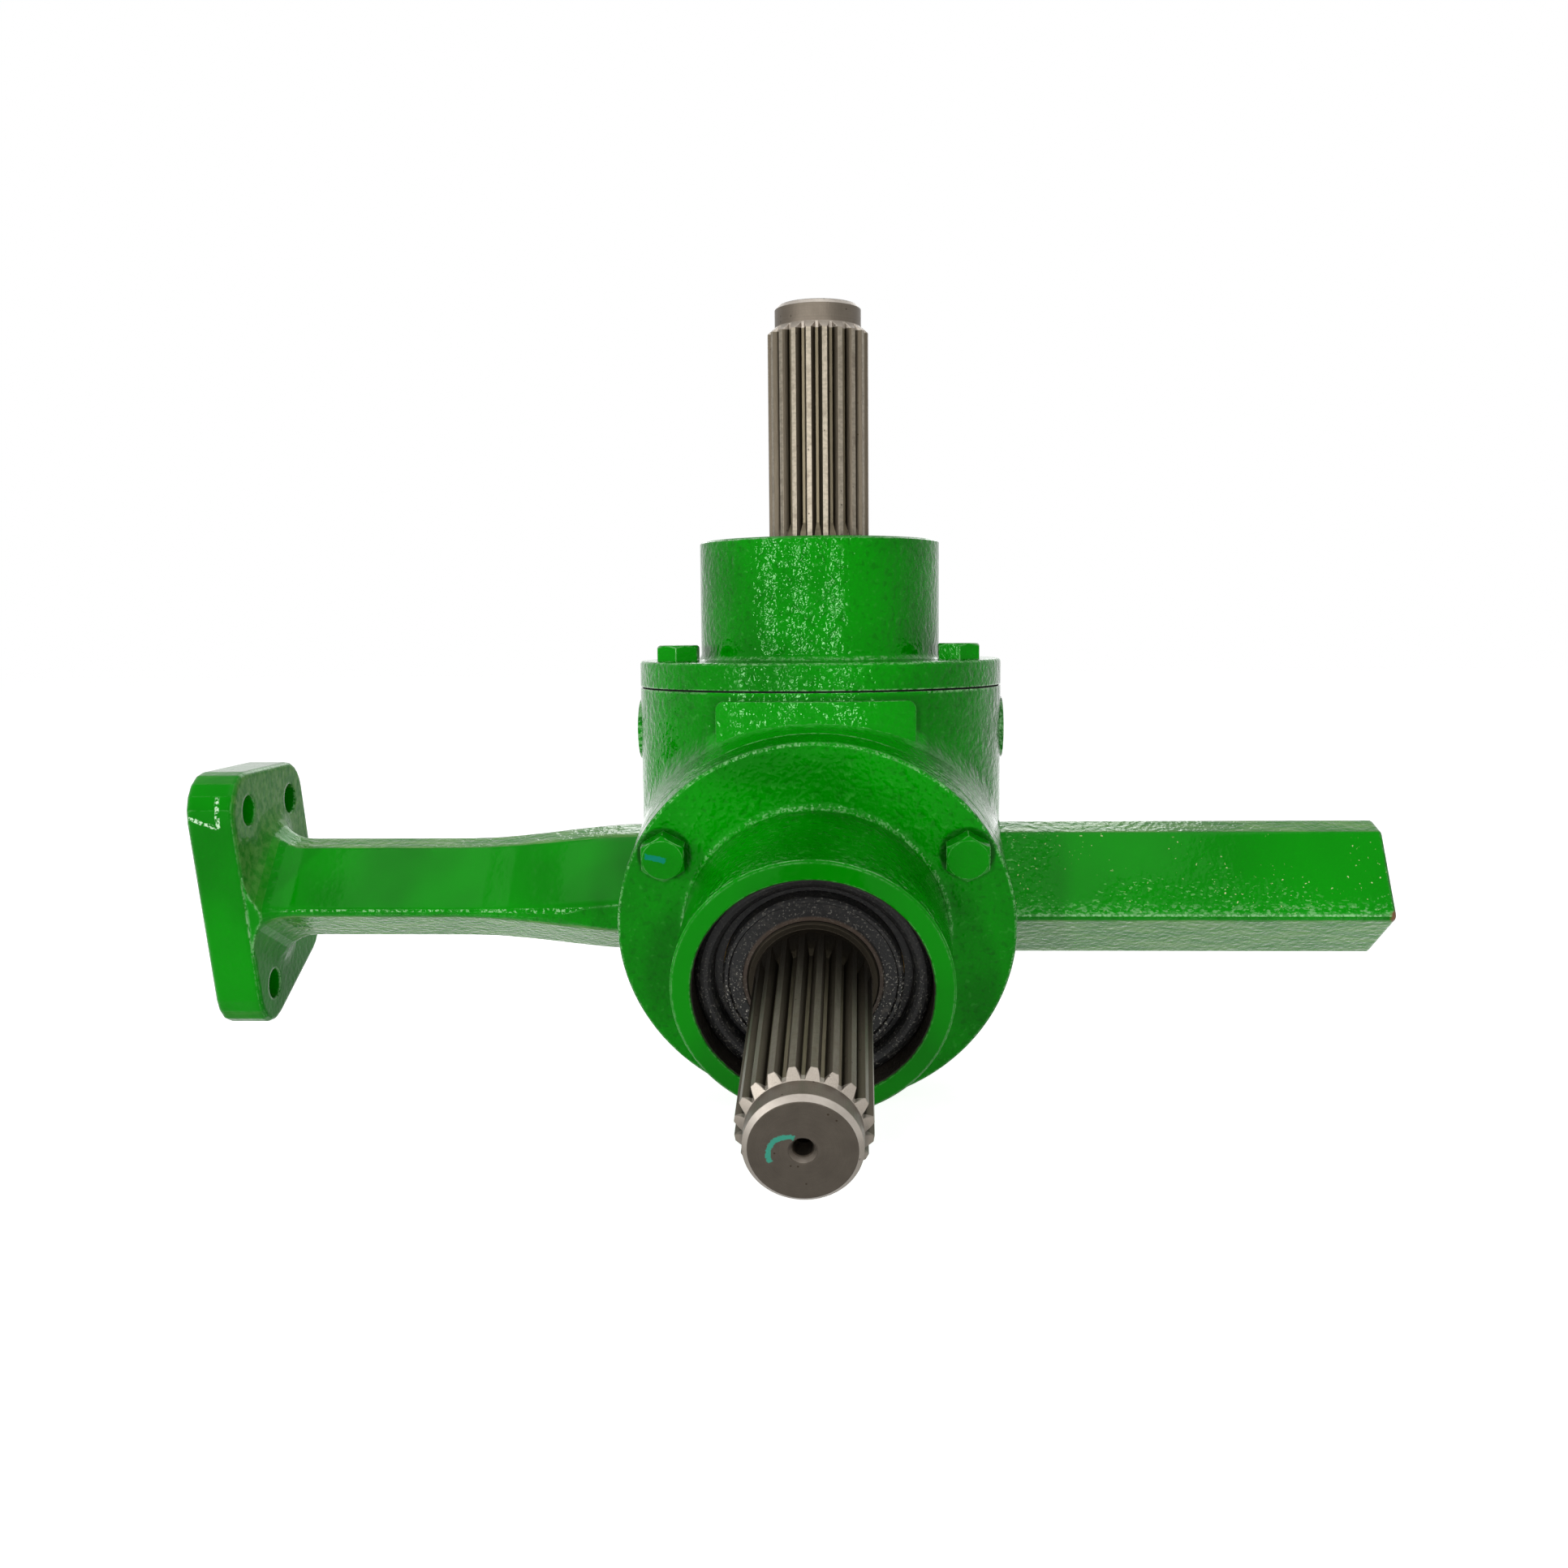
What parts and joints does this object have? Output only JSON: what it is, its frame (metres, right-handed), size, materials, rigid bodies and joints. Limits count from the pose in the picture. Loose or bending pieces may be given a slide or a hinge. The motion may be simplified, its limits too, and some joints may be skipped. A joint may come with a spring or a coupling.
{
  "type": "bevel gearbox",
  "caption": "Cast bevel gearbox with two splined shafts on round bolted covers, a fixing plate on one arm and a square bar on the other",
  "frame": {"origin": "on the outer face of the fixing plate, level with the point where the two shaft axes cross and straight along X from it", "axes": "+X runs from the fixing plate along the arm and the bar, +Z is the direction of the top shaft, -Y is the front, where the front shaft points forwards and 14 degrees downwards"},
  "size_m": [0.541, 0.319, 0.3403],
  "materials": {
    "green_paint": "thick gloss green paint over a coarse casting",
    "bare_steel": "bare machined steel with a light brown film",
    "gear_steel": "machined and hardened, oily",
    "bearing_steel": "ground and polished",
    "spring_steel": "dark oiled spring steel",
    "brass": "turned",
    "gasket_black": "black gasket sheet",
    "seal_rubber": "black rubber, dusty"
  },
  "bodies": {
    "gearbox_body": {"housing": "green_paint", "filler_plug": "green_paint", "level_plug": "green_paint", "front_cover": "green_paint", "front_gasket": "gasket_black", "front_cover_bolts": "green_paint", "front_inner_bearing_outer_ring": "bearing_steel", "front_outer_bearing_outer_ring": "bearing_steel", "front_bore_clip": "spring_steel", "front_seal_ring": "seal_rubber", "top_cover": "green_paint", "top_gasket": "gasket_black", "top_cover_bolts": "green_paint", "top_inner_bearing_outer_ring": "bearing_steel", "top_outer_bearing_outer_ring": "bearing_steel", "top_bore_clip": "spring_steel", "top_seal_ring": "seal_rubber"},
    "front_shaft_set": {"front_shaft": "bare_steel", "front_bevel_gear": "gear_steel", "front_gear_key": "gear_steel", "front_gear_nut": "gear_steel", "front_inner_bearing_inner_ring": "bearing_steel", "front_outer_bearing_inner_ring": "bearing_steel", "front_shaft_clip": "spring_steel", "front_seal_sleeve": "seal_rubber"},
    "front_inner_bearing_ball_set": {"front_inner_bearing_balls": "bearing_steel", "front_inner_bearing_cage": "brass"},
    "front_outer_bearing_ball_set": {"front_outer_bearing_balls": "bearing_steel", "front_outer_bearing_cage": "brass"},
    "top_shaft_set": {"top_shaft": "bare_steel", "top_bevel_gear": "gear_steel", "top_gear_key": "gear_steel", "top_gear_nut": "gear_steel", "top_inner_bearing_inner_ring": "bearing_steel", "top_outer_bearing_inner_ring": "bearing_steel", "top_shaft_clip": "spring_steel", "top_seal_sleeve": "seal_rubber"},
    "top_inner_bearing_ball_set": {"top_inner_bearing_balls": "bearing_steel", "top_inner_bearing_cage": "brass"},
    "top_outer_bearing_ball_set": {"top_outer_bearing_balls": "bearing_steel", "top_outer_bearing_cage": "brass"}
  },
  "joints": [
    {"name": "front_shaft_spin", "type": "hinge", "parent": "gearbox_body", "child": "front_shaft_set", "pos_m": [0.285, 0, 0], "axis": [0, -0.9703, -0.2419], "continuous": true},
    {"name": "front_inner_bearing_roll", "type": "hinge", "parent": "gearbox_body", "child": "front_inner_bearing_ball_set", "pos_m": [0.285, 0, 0], "axis": [0, -0.9703, -0.2419], "continuous": true},
    {"name": "front_outer_bearing_roll", "type": "hinge", "parent": "gearbox_body", "child": "front_outer_bearing_ball_set", "pos_m": [0.285, 0, 0], "axis": [0, -0.9703, -0.2419], "continuous": true},
    {"name": "top_shaft_spin", "type": "hinge", "parent": "gearbox_body", "child": "top_shaft_set", "pos_m": [0.285, 0, 0], "axis": [0, 0, 1], "continuous": true},
    {"name": "top_inner_bearing_roll", "type": "hinge", "parent": "gearbox_body", "child": "top_inner_bearing_ball_set", "pos_m": [0.285, 0, 0], "axis": [0, 0, 1], "continuous": true},
    {"name": "top_outer_bearing_roll", "type": "hinge", "parent": "gearbox_body", "child": "top_outer_bearing_ball_set", "pos_m": [0.285, 0, 0], "axis": [0, 0, 1], "continuous": true}
  ],
  "couplings": [
    {"joint": "top_shaft_spin", "follows": "front_shaft_spin", "ratio": -1},
    {"joint": "front_inner_bearing_roll", "follows": "front_shaft_spin", "ratio": 0.40929},
    {"joint": "front_outer_bearing_roll", "follows": "front_shaft_spin", "ratio": 0.40929},
    {"joint": "top_inner_bearing_roll", "follows": "front_shaft_spin", "ratio": -0.40929},
    {"joint": "top_outer_bearing_roll", "follows": "front_shaft_spin", "ratio": -0.40929}
  ]
}
